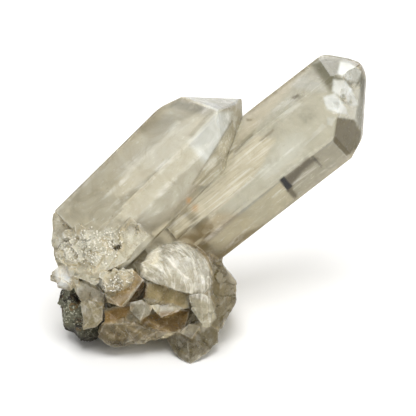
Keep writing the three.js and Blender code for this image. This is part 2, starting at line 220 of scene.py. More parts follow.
# What is only colour, by its outline as seen from the front: corners and softness in picture points,
# colour and its share, and how milky the quartz is. Softness and share are 1 unless they are given. Some
# marks take whole faces (facet), lie on a flat break (smooth), or carry sugary grains (sugar), feathers
# (rib) or growth lines (line)
marks = {
    "leftBody": {"outline": [(55, 205), (182, 96), (245, 97), (250, 120), (165, 220), (120, 245), (50, 240)],
                 "soft": 6, "colour": (193, 188, 170), "milk": 0.62},
    "leftPale": {"outline": [(168, 106), (198, 114), (186, 142), (160, 176), (138, 160)],
                 "soft": 10, "colour": (194, 192, 180), "share": 0.8, "milk": 0.66},
    "leftShade": {"outline": [(176, 98), (217, 110), (212, 119), (190, 112), (168, 106)],
                  "soft": 4, "colour": (150, 149, 142), "share": 0.85, "milk": 0.5},
    "leftRight": {"outline": [(216, 112), (232, 112), (228, 132), (170, 216), (150, 224), (138, 202),
                              (187, 142)],
                  "soft": 5, "colour": (196, 192, 174), "share": 0.85, "milk": 0.7},
    "leftVeil": {"outline": [(217, 112), (232, 112), (228, 132), (206, 164), (187, 142)],
                 "soft": 4, "colour": (222, 225, 221), "share": 0.9, "milk": 0.75},
    "leftTip": {"outline": [(180, 95), (241, 96), (236, 105), (217, 111)],
                "colour": (200, 201, 196), "milk": 0.61, "facet": True},
    "leftLow": {"outline": [(60, 206), (110, 170), (150, 190), (120, 232), (60, 236)],
                "soft": 10, "colour": (183, 177, 155), "share": 0.7, "milk": 0.66},
    "rightBody": {"outline": [(200, 190), (320, 55), (350, 57), (367, 80), (362, 140), (222, 260),
                              (185, 240)],
                  "soft": 5, "colour": (160, 160, 143), "milk": 0.42},
    "rightMilk": {"outline": [(258, 172), (284, 136), (304, 130), (306, 150), (284, 174), (268, 184)],
                  "soft": 9, "colour": (190, 190, 178), "share": 0.95, "milk": 0.66},
    "rightVeil": {"outline": [(290, 86), (300, 76), (318, 75), (328, 92), (310, 91)],
                  "soft": 3, "colour": (180, 182, 176), "share": 0.8, "milk": 0.53},
    "rightMottle": {"outline": [(311, 64), (322, 55), (342, 57), (340, 76), (330, 92), (319, 76)],
                    "soft": 4, "colour": (78, 74, 48), "share": 0.85, "milk": 0.95},
    "rightStrip": {"outline": [(165, 228), (256, 134), (276, 140), (255, 176), (217, 211), (173, 238)],
                   "soft": 3, "colour": (192, 184, 160), "share": 0.85, "milk": 0.62, "line": 1.0},
    # under the right point: partly the quartz's own brown, partly painted shade beneath the crystal
    "rightLow": {"outline": [(176, 239), (217, 212), (246, 214), (262, 232), (222, 260), (206, 262)],
                 "soft": 5, "colour": (140, 116, 66), "share": 0.75, "milk": 0.6},
    "rightUnder": {"outline": [(208, 243), (281, 180), (296, 199), (224, 258)],
                   "soft": 2, "colour": (182, 172, 138), "share": 0.8, "milk": 0.72},
    "rightLowEdge": {"outline": [(206, 263), (238, 236), (268, 222), (223, 260)],
                     "soft": 3, "colour": (100, 80, 10), "share": 0.85, "milk": 0.85},
    # the left point's overlap painted in the right point's look and lighter, partly painted light over the
    # shade where the two points meet
    "rightUpper": {"outline": [(235, 118), (242, 122), (228, 174), (204, 186), (194, 184), (214, 152)],
                   "soft": 1.5, "colour": (188, 182, 158), "share": 0.9, "milk": 0.7, "line": 0.8},
    "seamUpper": {"outline": [(233, 118), (213, 151), (192, 184), (193, 185), (214, 152), (234, 119)],
                  "colour": (104, 92, 60), "share": 0.7, "milk": 0.85},
    "seam": {"outline": [(255, 129), (229, 151), (200, 181), (170, 215), (170, 216), (201, 183), (230, 153),
                         (256, 130)],
             "colour": (100, 86, 50), "share": 0.5, "milk": 0.8},
    "darkStreak": {"outline": [(233, 152), (252, 133), (254, 135), (236, 153)],
                   "colour": (70, 58, 30), "share": 0.65, "milk": 0.85},
    "brownStreak": {"outline": [(259, 141), (273, 128), (275, 130), (262, 142)],
                    "soft": 1.2, "colour": (100, 88, 60), "share": 0.8, "milk": 0.75},
    "lowerFleck": {"outline": [(246, 118), (253, 118), (253, 121), (247, 121)],
                   "colour": (96, 80, 46), "share": 0.8, "milk": 0.8},
    "upperFleck": {"outline": [(291, 97), (299, 93), (300, 96), (294, 100)],
                   "colour": (70, 60, 40), "share": 0.85, "milk": 0.8},
    "tipLines": {"outline": [(208, 113), (213, 113), (192, 138), (188, 136)],
                 "soft": 1.5, "colour": (140, 137, 124), "share": 0.6, "milk": 0.6},
    # the window on the right point's lower face: partly the quartz's own brown, partly painted dark that
    # stands for what is seen through the clear face and its shade; windowDark is painted black
    "window": {"outline": [(281, 180), (311, 156), (333, 143), (347, 156), (296, 199)],
               "soft": 1.5, "colour": (150, 143, 116), "share": 0.9, "milk": 0.55},
    "windowBrown": {"outline": [(284, 178), (308, 157), (320, 158), (303, 172), (292, 187)],
                    "soft": 3, "colour": (50, 34, 2), "share": 0.8, "milk": 0.97},
    "windowDark": {"outline": [(279, 180), (284, 176), (293, 186), (288, 192)],
                   "soft": 1.2, "colour": (3, 2, 1), "milk": 1.0},
    "windowLine": {"outline": [(311, 156), (313, 155), (323, 166), (322, 168)],
                   "soft": 0.8, "colour": (40, 32, 16), "share": 0.8, "milk": 0.97},
    "windowEnd": {"outline": [(287, 191), (292, 187), (299, 196), (295, 200)],
                  "soft": 1.5, "colour": (56, 42, 4), "share": 0.8, "milk": 0.97},
    "oliveFacet": {"outline": [(337, 117), (355, 119), (363, 132), (359, 150), (347, 156), (333, 142)],
                   "soft": 1.2, "colour": (72, 60, 6), "share": 0.95, "milk": 0.96},
    "tipEdge": {"outline": [(361, 70), (367, 80), (364, 132), (356, 118), (359, 100), (362, 84)],
                "soft": 2, "colour": (70, 66, 48), "share": 0.8, "milk": 0.85},
    "flakeTop": {"outline": [(341, 61), (350, 62), (362, 71), (359, 82), (347, 80), (338, 73)],
                 "soft": 1.5, "colour": (198, 200, 196), "milk": 0.94},
    "flakeLong": {"outline": [(334, 80), (345, 80), (352, 88), (359, 104), (353, 106), (341, 97), (332, 91)],
                  "soft": 1.5, "colour": (206, 208, 204), "milk": 0.94},
    "flakeLow": {"outline": [(323, 97), (335, 93), (347, 108), (348, 114), (338, 113), (327, 109)],
                 "soft": 1.5, "colour": (206, 208, 204), "milk": 0.94},
    "flakeSmall": {"outline": [(327, 117), (336, 118), (332, 126), (327, 124)],
                   "soft": 1.5, "colour": (196, 197, 190), "share": 0.9, "milk": 0.89},
    "rustUpper": {"outline": [(187, 198), (191, 198), (190, 203), (187, 203)],
                  "soft": 2.5, "colour": (190, 134, 62), "share": 0.75, "milk": 0.8},
    "rustLower": {"outline": [(193, 205), (198, 205), (197, 211), (192, 211)],
                  "soft": 2.5, "colour": (178, 132, 72), "share": 0.8, "milk": 0.70},
    "shoulder": {"outline": [(52, 235), (150, 232), (150, 262), (128, 285), (75, 292), (54, 265)],
                 "soft": 5, "colour": (214, 211, 194), "share": 0.9, "milk": 0.7},
    "sugar": {"outline": [(58, 242), (80, 234), (118, 229), (122, 246), (106, 262), (84, 262), (62, 256)],
              "soft": 4, "colour": (200, 198, 182), "share": 0.9, "milk": 0.82, "sugar": 1.0},
    "sugarLedge": {"outline": [(104, 281), (130, 272), (133, 280), (118, 290), (104, 290)],
                   "soft": 2, "colour": (180, 175, 158), "share": 0.9, "milk": 0.82, "sugar": 0.8},
    "pit": {"outline": [(111, 247), (119, 244), (122, 248), (114, 252)],
            "soft": 2, "colour": (128, 117, 81), "share": 0.9, "milk": 0.70},
    "whiteLump": {"outline": [(54, 268), (66, 266), (72, 278), (66, 289), (57, 285)],
                  "soft": 2, "colour": (234, 238, 240), "milk": 0.79},
    "fan": {"outline": [(134, 262), (150, 247), (178, 241), (197, 249), (208, 262), (212, 285), (210, 304),
                        (187, 294), (160, 284), (143, 280)],
            "soft": 1.5, "colour": (206, 202, 184), "share": 0.95, "milk": 0.6, "rib": 1.0, "smooth": 0.5},
    "fanBright": {"outline": [(164, 256), (186, 258), (204, 270), (209, 298), (196, 293), (178, 276)],
                  "soft": 5, "colour": (228, 227, 218), "share": 0.7, "milk": 0.78},
    # painted light: pale cream laid over the shade in the crease between the left point and the fan
    "fanLeftLit": {"outline": [(136, 258), (158, 246), (160, 262), (146, 274), (138, 270)],
                "soft": 5, "colour": (244, 238, 216), "share": 0.9, "milk": 0.9},
    "tanFacet": {"outline": [(105, 301), (133, 283), (134, 269), (143, 279), (122, 307), (116, 306)],
                 "colour": (142, 120, 78), "milk": 0.70, "facet": True,
                 "smooth": 1.0},
    # painted shade: the tan block's side that faces down into the groove, in dark brown
    "darkFacet": {"outline": [(143, 280), (148, 284), (146, 298), (124, 307)],
                  "soft": 1.2, "colour": (66, 42, 2), "milk": 0.9, "smooth": 1.0},
    "oliveLedge": {"outline": [(148, 282), (187, 294), (190, 308), (146, 298)],
                   "colour": (180, 164, 120), "milk": 0.6, "smooth": 0.8},
    "greyCrystal": {"outline": [(128, 303), (142, 300), (152, 312), (138, 321)],
                    "colour": (164, 158, 138), "share": 0.9, "milk": 0.55, "smooth": 0.8},
    "whiteLedge": {"outline": [(151, 305), (184, 306), (176, 311), (162, 317), (152, 313)],
                   "colour": (196, 189, 164), "share": 0.95, "milk": 0.55},
    "recess": {"outline": [(142, 318), (157, 312), (190, 309), (186, 330), (160, 334), (142, 327)],
               "soft": 2, "colour": (136, 108, 54), "share": 0.95, "milk": 0.7},
    "rustFacets": {"outline": [(103, 312), (118, 307), (133, 306), (126, 318), (112, 323), (102, 324)],
                   "soft": 3, "colour": (150, 116, 54), "share": 0.9, "milk": 0.8},
    "slab": {"outline": [(97, 325), (142, 322), (166, 334), (160, 341), (120, 348), (96, 339)],
             "soft": 2, "colour": (98, 84, 52), "share": 0.9, "milk": 0.68},
    "tablet": {"outline": [(180, 333), (189, 323), (200, 327), (192, 340)],
               "colour": (178, 168, 136), "share": 0.9, "milk": 0.53, "smooth": 0.8},
    "foot": {"outline": [(165, 339), (180, 334), (214, 328), (220, 345), (200, 358), (190, 365), (176, 355)],
             "soft": 2, "colour": (122, 112, 82), "share": 0.9, "milk": 0.6},
    # the base's right side: partly its own brown, partly painted shade on the side turned away from the light
    "rightWall": {"outline": [(210, 262), (222, 258), (238, 300), (218, 346), (210, 330)],
                  "soft": 2, "colour": (114, 103, 70), "share": 0.9, "milk": 0.6},
    "tail": {"outline": [(186, 298), (211, 300), (216, 318), (206, 329), (194, 322)],
             "soft": 2, "colour": (202, 197, 174), "share": 0.85, "milk": 0.6},
    "leftChunk": {"outline": [(82, 303), (103, 303), (101, 322), (85, 329)],
                  "soft": 2, "colour": (150, 138, 98), "share": 0.8, "milk": 0.6},
}


def inOutline(points, outline, soft):
    # 1 well inside an outline and 0 well outside it
    corners = np.array(outline, float)
    nearest = np.full(len(points), 1e9)
    inside = np.zeros(len(points), bool)
    for a, b in zip(corners, np.roll(corners, -1, axis=0)):
        along = np.clip(((points - a) @ (b - a)) / max((b - a) @ (b - a), 1e-9), 0.0, 1.0)
        nearest = np.minimum(nearest, np.linalg.norm(points - a - along[:, None] * (b - a), axis=1))
        crosses = (a[1] > points[:, 1]) != (b[1] > points[:, 1])
        level = a[0] + (points[:, 1] - a[1]) / np.where(b[1] == a[1], 1e-9, b[1] - a[1]) * (b[0] - a[0])
        inside ^= crosses & (points[:, 0] < level)
    return ramp(np.where(inside, nearest, -nearest), -soft, soft)


facingEye = {"faces": (-0.1, 0.2), "corners": (-0.2, 0.2)}   # how squarely what is painted faces the eye


def setValues(mesh, name, domain, values):
    mesh.attributes.new(name, "FLOAT", domain).data.foreach_set("value", values)


def paintMarks(mesh, ground):
    # the marks as the mesh's own values, seen only on the side that faces the eye
    coords = coordsOf(mesh)
    loops = np.zeros(len(mesh.loops), int)
    mesh.loops.foreach_get("vertex_index", loops)
    faceOfLoop = np.repeat(np.arange(len(mesh.polygons)), [p.loop_total for p in mesh.polygons])
    centres = np.array([p.center for p in mesh.polygons])
    frontFaces = ramp(np.array([p.normal for p in mesh.polygons]) @ eyeOut, *facingEye["faces"])
    frontVerts = ramp(np.array([v.normal for v in mesh.vertices]) @ eyeOut, *facingEye["corners"])
    seenFaces, seenVerts = toPicture(centres), toPicture(coords)
    colour = np.tile(np.array(linear(*ground["colour"])), (len(loops), 1))
    milk = np.full(len(loops), ground["milk"])
    grown = {name: np.zeros(len(coords)) for name in ("sugar", "rib", "line")}
    for mark in marks.values():
        edge = mark["outline"], mark.get("soft", 1.0)
        seen = inOutline(seenVerts, *edge) * frontVerts
        if mark.get("facet"):
            share = (inOutline(seenFaces, *edge) * frontFaces)[faceOfLoop]
        else:
            share = seen[loops]
        share = share * mark.get("share", 1.0)
        colour += (np.array(linear(*mark["colour"])) - colour) * share[:, None]
        milk += (mark["milk"] - milk) * share
        for name in grown:
            grown[name] = np.maximum(grown[name], mark.get(name, 0.0) * seen)
    tint = mesh.attributes.new("tint", "FLOAT_COLOR", "CORNER")
    tint.data.foreach_set("color", np.c_[colour, np.ones(len(colour))].ravel())
    setValues(mesh, "milk", "CORNER", milk)
    for name, values in grown.items():
        setValues(mesh, name, "POINT", values)


def smoothShare(points):
    # facets of the base that broke flat
    seen = toPicture(points)
    flat = [m["smooth"] * inOutline(seen, m["outline"], 1.0) for m in marks.values() if "smooth" in m]
    return np.max(flat, axis=0)


def edgeMasks(mesh, least):
    # two values for each corner of the mesh: 1 on outer edges sharper than least, and 1 down in creases
    bm = bmesh.new()
    bm.from_mesh(mesh)
    wornAndGlinting, creased = np.zeros(len(bm.verts)), np.zeros(len(bm.verts))
    for edge in bm.edges:
        if len(edge.link_faces) < 2:
            continue
        angle = edge.calc_face_angle_signed(0.0)
        mask = wornAndGlinting if angle > least else creased if angle < -least else None
        if mask is not None:
            mask[[v.index for v in edge.verts]] = 1.0
    ends = np.array([[v.index for v in e.verts] for e in bm.edges])
    bm.free()
    spread = creased.copy()
    np.maximum.at(spread, ends[:, 0], 0.5 * creased[ends[:, 1]])
    np.maximum.at(spread, ends[:, 1], 0.5 * creased[ends[:, 0]])
    return wornAndGlinting, spread


class Flow:
    # a socket of a shader tree that can stand in sums
    def __init__(self, tree, socket=None):
        self.tree, self.socket = tree, socket

    def node(self, kind, settings=None, inputs=None, out=0):
        made = self.tree.nodes.new(kind)
        for name, value in (settings or {}).items():
            setattr(made, name, value)
        for key, value in (inputs or {}).items():
            if isinstance(value, Flow):
                self.tree.links.new(value.socket, made.inputs[key])
            else:
                made.inputs[key].default_value = value
        return Flow(self.tree, made.outputs[out])

    def sum(self, operation, *values):
        return self.node("ShaderNodeMath", {"operation": operation}, dict(enumerate(values)))

    def __add__(self, other): return self.sum("ADD", self, other)
    def __radd__(self, other): return self.sum("ADD", other, self)
    def __sub__(self, other): return self.sum("SUBTRACT", self, other)
    def __rsub__(self, other): return self.sum("SUBTRACT", other, self)
    def __mul__(self, other): return self.sum("MULTIPLY", self, other)
    def __rmul__(self, other): return self.sum("MULTIPLY", other, self)

    def between(self, low, high):
        return self.node("ShaderNodeMapRange", {"interpolation_type": "SMOOTHSTEP"},
                         {0: self, 1: low, 2: high, 3: 0.0, 4: 1.0})

    def clipped(self, low, high):
        return self.sum("MINIMUM", self.sum("MAXIMUM", self, low), high)

    def towards(self, colour, share, blend="MIX"):
        return self.node("ShaderNodeMix", {"data_type": "RGBA", "blend_type": blend},
                         {0: share, 6: self, 7: (*colour, 1.0)}, out=2)

    def blended(self, first, second):
        return self.node("ShaderNodeMix", {"data_type": "RGBA"},
                         {0: self, 6: (*first, 1.0), 7: (*second, 1.0)}, out=2)

    def grain(self, scale, detail=3.0, rough=0.55, twist=0.0):
        return self.node("ShaderNodeTexNoise", None, {
            "Vector": self, "Scale": scale, "Detail": detail, "Roughness": rough, "Distortion": twist})

    def dot(self, direction):
        return self.node("ShaderNodeVectorMath", {"operation": "DOT_PRODUCT"},
                         {0: self, 1: tuple(direction)}, out=1)

    def value(self, name):
        # one of the mesh's own values
        return self.node("ShaderNodeAttribute", {"attribute_name": name}, None, out=2)

    def places(self):
        # the place on the piece in m, and in mm
        place = self.node("ShaderNodeTexCoord", None, None, out=3)
        return place, self.node("ShaderNodeVectorMath", {"operation": "SCALE"}, {0: place, "Scale": 1000.0})


def startMaterial(name):
    material = bpy.data.materials.new(name)
    material.use_nodes = True
    material.node_tree.nodes.clear()
    return material, Flow(material.node_tree)


def endMaterial(flow, surface, volume=None):
    output = flow.tree.nodes.new("ShaderNodeOutputMaterial")
    flow.tree.links.new(surface.socket, output.inputs["Surface"])
    if volume:
        flow.tree.links.new(volume.socket, output.inputs["Volume"])


quartzLook = {
    "ior": 1.544,
    "clearColour": linear(250, 249, 244),
    "absorbColour": linear(222, 211, 168),
    "absorbDensity": 26.0,    # per m
    "clearRough": 0.06,
    "milkRough": 0.24,
    "milkGloss": 0.15,
    "bleed": 0.6,             # share of the light that spreads under the milky surface
    "bleedReach": (1.0, 0.9, 0.7),
    "bleedScale": 0.0012,     # m
    "paleFrom": (0.02, 0.22),  # tints darker than this stay free of white marks
    # noise: size per mm, detail, roughness and twist
    "cloud": (0.11, 5.0, 0.6, 0.8),
    "mottle": (0.55, 4.0, 0.65, 0.4),
    "fleck": (1.9, 3.0, 0.7),
    # noise that is stretched along a crystal: its heading and lean, then per mm along and across it
    "streak": (20.0, 36.5, 0.05, 0.28),
    "growthLine": (16.3, 34.6, 0.05, 1.1),
    "scratch": (20.0, 36.5, 0.45, 1.0),
    # the fan's ribs and feathers ring this picture point and depth
    "ribsFrom": (120.0, 300.0, 8.0),
    "ribSpacing": 1.1,        # mm
    "ribWander": (9.0, 6.0),  # how far clouds and mottling shift a rib, in radians
    "feathersRun": (0.47, -0.88),      # across and up, as seen from the front
    "featherSize": (0.62, 0.13, 0.2),  # per mm from the point, along the feathers and in depth
    "bumpStrength": 0.22,
    "bumpHeight": 0.0004,     # m
    # what is laid over the tint, in order: colour and strength; those that are named dark multiply it
    "layers": {
        "darkShade": ((0.60, 0.57, 0.48), 0.4),
        # painted light cell by cell on broken quartz: dark cells are painted shade, pale cells painted glints
        "darkCellShade": ((0.50, 0.45, 0.33), 0.06),
        "paleCellGlint": ((0.88, 0.87, 0.82), 0.08),
        "darkFleck": ((0.45, 0.38, 0.26), 0.35),
        "darkLine": ((0.46, 0.40, 0.27), 0.4),
        "paleLine": ((0.90, 0.88, 0.81), 0.4),
        "darkScratch": ((0.45, 0.40, 0.28), 0.4),
        "paleScratch": ((0.93, 0.93, 0.90), 0.35),
        "veil": ((0.86, 0.87, 0.85), 0.35),
        "stain": (linear(150, 116, 66), 0.25),
        # painted light in the creases: a warm pale that lifts the shade falling between the lumps
        "crease": (linear(196, 172, 118), 0.35),
        # pale flecks: partly white flecks in the quartz, partly painted sparkle on broken quartz
        "paleFleckAndSparkle": ((0.92, 0.92, 0.90), 0.45),
        "feather": ((0.93, 0.92, 0.88), 0.4),
        # white on sharp outer edges: wear on the crystals, painted glints on broken quartz
        "wornAndGlinting": ((0.94, 0.94, 0.92), 0.35),
    },
}


def quartzMaterial():
    look = quartzLook
    material, flow = startMaterial("quartz")
    place, mm = flow.places()
    tint = flow.node("ShaderNodeAttribute", {"attribute_name": "tint"})
    milk, wearAndGlint, broken, crease, cell, rib, line = (
        flow.value(name) for name in ("milk", "wearAndGlint", "broken", "crease", "cell", "rib", "line"))
    pale = flow.node("ShaderNodeRGBToBW", None, {0: tint}).between(*look["paleFrom"])

    def alongCrystal(heading, lean, along, across):
        # the place in mm, stretched down a crystal's length
        axis = facing(heading, lean)
        side = np.cross(axis, eyeOut)
        side /= np.linalg.norm(side)
        return flow.node("ShaderNodeCombineXYZ", None, {
            0: mm.dot(axis * along), 1: mm.dot(side * across), 2: mm.dot(np.cross(axis, side) * across)})

    streak = alongCrystal(*look["streak"]).grain(1.0, 2.5, 0.5, 0.3)
    growth = alongCrystal(*look["growthLine"]).grain(1.0, 3.0, 0.6, 0.2)
    scratch = alongCrystal(*look["scratch"]).grain(1.0, 3.0, 0.6, 0.4)
    cloud = mm.grain(*look["cloud"])
    mottle = mm.grain(*look["mottle"])
    fleck = mm.grain(*look["fleck"])

    struck = flow.node("ShaderNodeVectorMath", {"operation": "DISTANCE"}, {
        0: place, 1: tuple(fromPicture(*look["ribsFrom"]))}, out=1)
    byCloud, byMottle = look["ribWander"]
    phase = struck * (2000.0 * math.pi / look["ribSpacing"]) + byCloud * cloud + byMottle * mottle
    ridge = rib * phase.sum("SINE", phase).between(0.2, 1.0) * mottle.between(0.42, 0.6)
    across, up = look["feathersRun"]
    feathersRun = np.array([across, 0.0, 0.0]) + up * eyeUp
    outwards, along, inwards = look["featherSize"]
    feather = flow.node("ShaderNodeCombineXYZ", None, {
        0: struck * (1000.0 * outwards), 1: mm.dot(feathersRun * along), 2: mm.dot(eyeOut * inwards)})
    feather = rib * feather.grain(1.0, 4.0, 0.65, 1.3).between(0.46, 0.64)

    veil = streak.between(0.52, 0.72) * cloud.between(0.4, 0.62)
    wornAndGlinting = (wearAndGlint * mottle.between(0.35, 0.6)).clipped(0.0, 1.0)
    scratched = (1.0 - broken) * pale * cloud.between(0.42, 0.6)
    masks = {
        "darkShade": (1.0 + 0.875 * broken) * (1.0 - cloud.between(0.3, 0.62)),
        # painted shade and painted glints, cell by cell
        "darkCellShade": broken * (1.0 - cell.between(0.0, 0.4)),
        "paleCellGlint": broken * cell.between(0.8, 1.0),
        "darkFleck": broken * (1.0 - fleck.between(0.36, 0.5)),
        "darkLine": line * (1.0 - growth.between(0.34, 0.48)),
        "paleLine": line * growth.between(0.53, 0.66),
        "darkScratch": scratched * (1.0 - scratch.between(0.28, 0.38)),
        "paleScratch": scratched * scratch.between(0.60, 0.74),
        "veil": pale * veil,
        "stain": broken * mottle.between(0.56, 0.72),
        # painted light over the shade in the creases
        "crease": crease * pale,
        # white flecks and painted sparkle, most of it on broken quartz
        "paleFleckAndSparkle": pale * fleck.between(0.6, 0.74) * (0.1 + 0.9 * broken),
        "feather": 0.25 * ridge + feather,
        # wear on the crystals' edges, painted glints on the edges of broken quartz
        "wornAndGlinting": pale * wornAndGlinting,
    }
    colour = tint
    for name, (tone, strength) in look["layers"].items():
        blend = "MULTIPLY" if name.startswith("dark") else "MIX"
        colour = colour.towards(tone, strength * masks[name], blend)

    # how far milkiness sways, most where the quartz is half clear
    hackly = (0.05 + 0.2 * broken) * (mottle - 0.5) + 0.14 * broken * (cell - 0.5)
    sway = 0.35 * (cloud - 0.5) + 0.15 * veil + 0.15 * wornAndGlinting + hackly
    sway = sway + 0.3 * feather - 0.12 * rib + 0.25 * crease
    amount = (milk + (4.0 * milk * (1.0 - milk)).clipped(0.0, 1.0) * sway).clipped(0.05, 1.0)
    relief = 0.6 * mottle + 0.4 * fleck + 0.25 * streak + 0.15 * ridge + 0.5 * feather
    normal = flow.node("ShaderNodeBump", None, {
        "Strength": look["bumpStrength"], "Distance": look["bumpHeight"], "Height": relief})
    clear = flow.node("ShaderNodeBsdfPrincipled", None, {
        "Base Color": (*look["clearColour"], 1.0), "IOR": look["ior"], "Transmission Weight": 1.0,
        "Roughness": (look["clearRough"] + 0.12 * broken * mottle).clipped(0.0, 1.0), "Normal": normal})
    milky = flow.node("ShaderNodeBsdfPrincipled", None, {
        "Base Color": colour, "IOR": look["ior"], "Specular IOR Level": look["milkGloss"],
        "Subsurface Weight": look["bleed"], "Subsurface Radius": look["bleedReach"],
        "Subsurface Scale": look["bleedScale"],
        "Roughness": (look["milkRough"] + 0.3 * (mottle - 0.5)).clipped(0.05, 1.0), "Normal": normal})
    surface = flow.node("ShaderNodeMixShader", None, {0: amount, 1: clear, 2: milky})
    volume = flow.node("ShaderNodeVolumeAbsorption", None, {
        "Color": (*look["absorbColour"], 1.0), "Density": look["absorbDensity"]})
    endMaterial(flow, surface, volume)
    return material


rockLook = {
    "dark": linear(28, 21, 12),
    "grey": linear(98, 98, 78),
    "pale": linear(200, 199, 178),
    "rust": linear(112, 88, 46),
    "rough": 0.7,
    "darkFoot": (4.0, 9.0),   # mm up, over which the dark foot fades out
}


def rockMaterial():
    look = rockLook
    material, flow = startMaterial("hostRock")
    _, mm = flow.places()
    patch = mm.grain(0.22, 3.0, 0.6, 0.5)
    speck = mm.grain(1.1, 4.0, 0.7, 0.3)
    rusty = mm.grain(0.35, 3.0, 0.6, 0.9)
    foot = 1.0 - mm.dot((0.0, 0.0, 1.0)).between(*look["darkFoot"])
    colour = patch.between(0.38, 0.50).blended(look["dark"], look["grey"])
    colour = colour.towards(look["pale"], 0.8 * speck.between(0.54, 0.62))
    colour = colour.towards(look["rust"], 0.7 * rusty.between(0.54, 0.66))
    colour = colour.towards(look["dark"], 0.85 * foot)
    normal = flow.node("ShaderNodeBump", None, {
        "Strength": 0.5, "Distance": 0.0005, "Height": speck + 0.5 * patch})
    surface = flow.node("ShaderNodeBsdfPrincipled", None, {
        "Base Color": colour, "Normal": normal,
        "Roughness": (look["rough"] - 0.35 * speck.between(0.5, 0.7)).clipped(0.2, 1.0)})
    endMaterial(flow, surface)
    return material


quartzShape = {
    "crystalEdge": 2.4,      # mm, longest edge left on the crystals
    "markedEdge": 0.75,      # and on them in these boxes of picture points, where small marks lie
    "markedBoxes": [(275, 45, 372, 206), (165, 108, 278, 245)],
    "markedFrom": -17.0,     # mm out towards the eye, behind which nothing is marked
    "brokenEdge": 1.0,       # mm, longest edge left on broken quartz
    "backEdge": 2.2,         # and on it where it lies deeper than this
    "backFrom": -30.0,
    "coarse": (5.0, 0.32, 3.0),  # size of a break's cells in mm, how far they tilt, and a start
    "fine": (1.7, 0.12, 8.0),
    "cell": (1.7, 8.0),      # size in mm and start of the small breaks that catch the light apart, painted lighter and darker cell by cell as glints and shade
    "setIn": 0.05,           # mm that the relief is set in
    "flatBreak": 0.9,        # share of the relief that flat breaks lose
    "footFade": (0.0003, 0.0020),  # m up, over which the relief fades in above the flat foot
    "ground": {"colour": (190, 180, 152), "milk": 0.38},
    "sharpEdge": math.radians(18.0),
    "crystalWear": 0.4,      # how white the crystals' edges are worn
    "brokenEdgeGlint": 0.7,       # and those of broken quartz, where the white is painted glints
    "sharpStep": 0.6,        # mm from the step's faces, within which no edge gets white wear and painted glint
}


def buildQuartz():
    shape = quartzShape

    def longest(middles):
        seen = toPicture(middles)
        marked = np.zeros(len(middles), bool)
        for left, top, right, bottom in shape["markedBoxes"]:
            marked |= (seen[:, 0] > left) & (seen[:, 0] < right) & (seen[:, 1] > top) & (seen[:, 1] < bottom)
        out = (middles * 1000.0 + np.array(sight["shift"])) @ eyeOut
        marked &= out > shape["markedFrom"]
        crystalEdge = np.where(marked, shape["markedEdge"], shape["crystalEdge"])
        brokenEdge = np.where(out > shape["backFrom"], shape["brokenEdge"], shape["backEdge"])
        return np.where(crystalShare(middles) > 0.5, crystalEdge, brokenEdge)

    piece = denserCopy("quartz_cluster", "quartz", longest)
    mesh = piece.data
    coords = coordsOf(mesh)
    broken = 1.0 - crystalShare(coords)
    rough = 1.0 - shape["flatBreak"] * smoothShare(coords)
    amount = broken * rough * ramp(coords[:, 2], *shape["footFade"])
    depths = np.zeros(len(coords))
    for i in np.nonzero(amount > 0.01)[0]:
        p = coords[i] * 1000.0
        relief = brokenDepth(p, *shape["coarse"]) + brokenDepth(p, *shape["fine"])
        depths[i] = amount[i] * (relief - shape["setIn"])
    wornAndGlinting, creased = edgeMasks(mesh, shape["sharpEdge"])
    wornAndGlinting *= shape["crystalWear"] + (shape["brokenEdgeGlint"] - shape["crystalWear"]) * broken
    wornAndGlinting[np.abs(faceDistance(coords, crystalFaces["step"])) < shape["sharpStep"]] = 0.0
    setValues(mesh, "wearAndGlint", "POINT", wornAndGlinting)
    setValues(mesh, "crease", "POINT", creased * broken)
    setValues(mesh, "broken", "POINT", broken)
    moveAlongNormals(mesh, depths)
    setValues(mesh, "cell", "FACE", [cellValue(p.center * 1000.0, *shape["cell"]) for p in mesh.polygons])
    paintMarks(mesh, shape["ground"])
    mesh.shade_flat()
    mesh.materials.append(quartzMaterial())
    print("quartz:", len(mesh.polygons), "faces")
    return piece


wholeTurn = 6.283   # radians


def startTree(name, inputs):
    # a tree of Geometry Nodes with named inputs, a short way to add nodes to it, and what it is given
    tree = bpy.data.node_groups.new(name, "GeometryNodeTree")
    for socket, kind in (("Geometry", "Geometry"), *inputs.items()):
        tree.interface.new_socket(socket, in_out="INPUT", socket_type="NodeSocket" + kind)
    tree.interface.new_socket("Geometry", in_out="OUTPUT", socket_type="NodeSocketGeometry")

    def add(kind, settings=None, links=None, values=None):
        node = tree.nodes.new(kind)
        for key, value in (settings or {}).items():
            setattr(node, key, value)
        for key, value in (values or {}).items():
            node.inputs[key].default_value = value
        for key, socket in (links or {}).items():
            tree.links.new(socket, node.inputs[key])
        return node

    return tree, add, add("NodeGroupInput").outputs


def grownFrom(carrierMesh, tree, name, values):
    # runs a node tree on a carrier, and keeps what it makes as a plain mesh
    carrier = bpy.data.objects.new(name + "Carrier", carrierMesh)
    bpy.context.scene.collection.objects.link(carrier)
    modifier = carrier.modifiers.new(name, "NODES")
    modifier.node_group = tree
    for item in tree.interface.items_tree:
        if item.in_out == "INPUT" and item.name in values:
            modifier[item.identifier] = values[item.name]
    graph = bpy.context.evaluated_depsgraph_get()
    mesh = bpy.data.meshes.new_from_object(carrier.evaluated_get(graph))
    piece = bpy.data.objects.new(name, mesh)
    bpy.context.scene.collection.objects.link(piece)
    bpy.data.objects.remove(carrier)
    return piece


# Tiny six-sided points that crust the sugary patches
sugarSettings = {
    "perSquareMm": 1.5,
    "radius": 0.3,       # mm
    "height": 0.4,       # mm
    "smallest": 0.5,     # times that size
    "largest": 1.5,
    "lean": 0.7,         # radians that a grain may lean either way
    "seed": 7,
    "cream": linear(206, 200, 180),
    "white": linear(238, 235, 224),
}


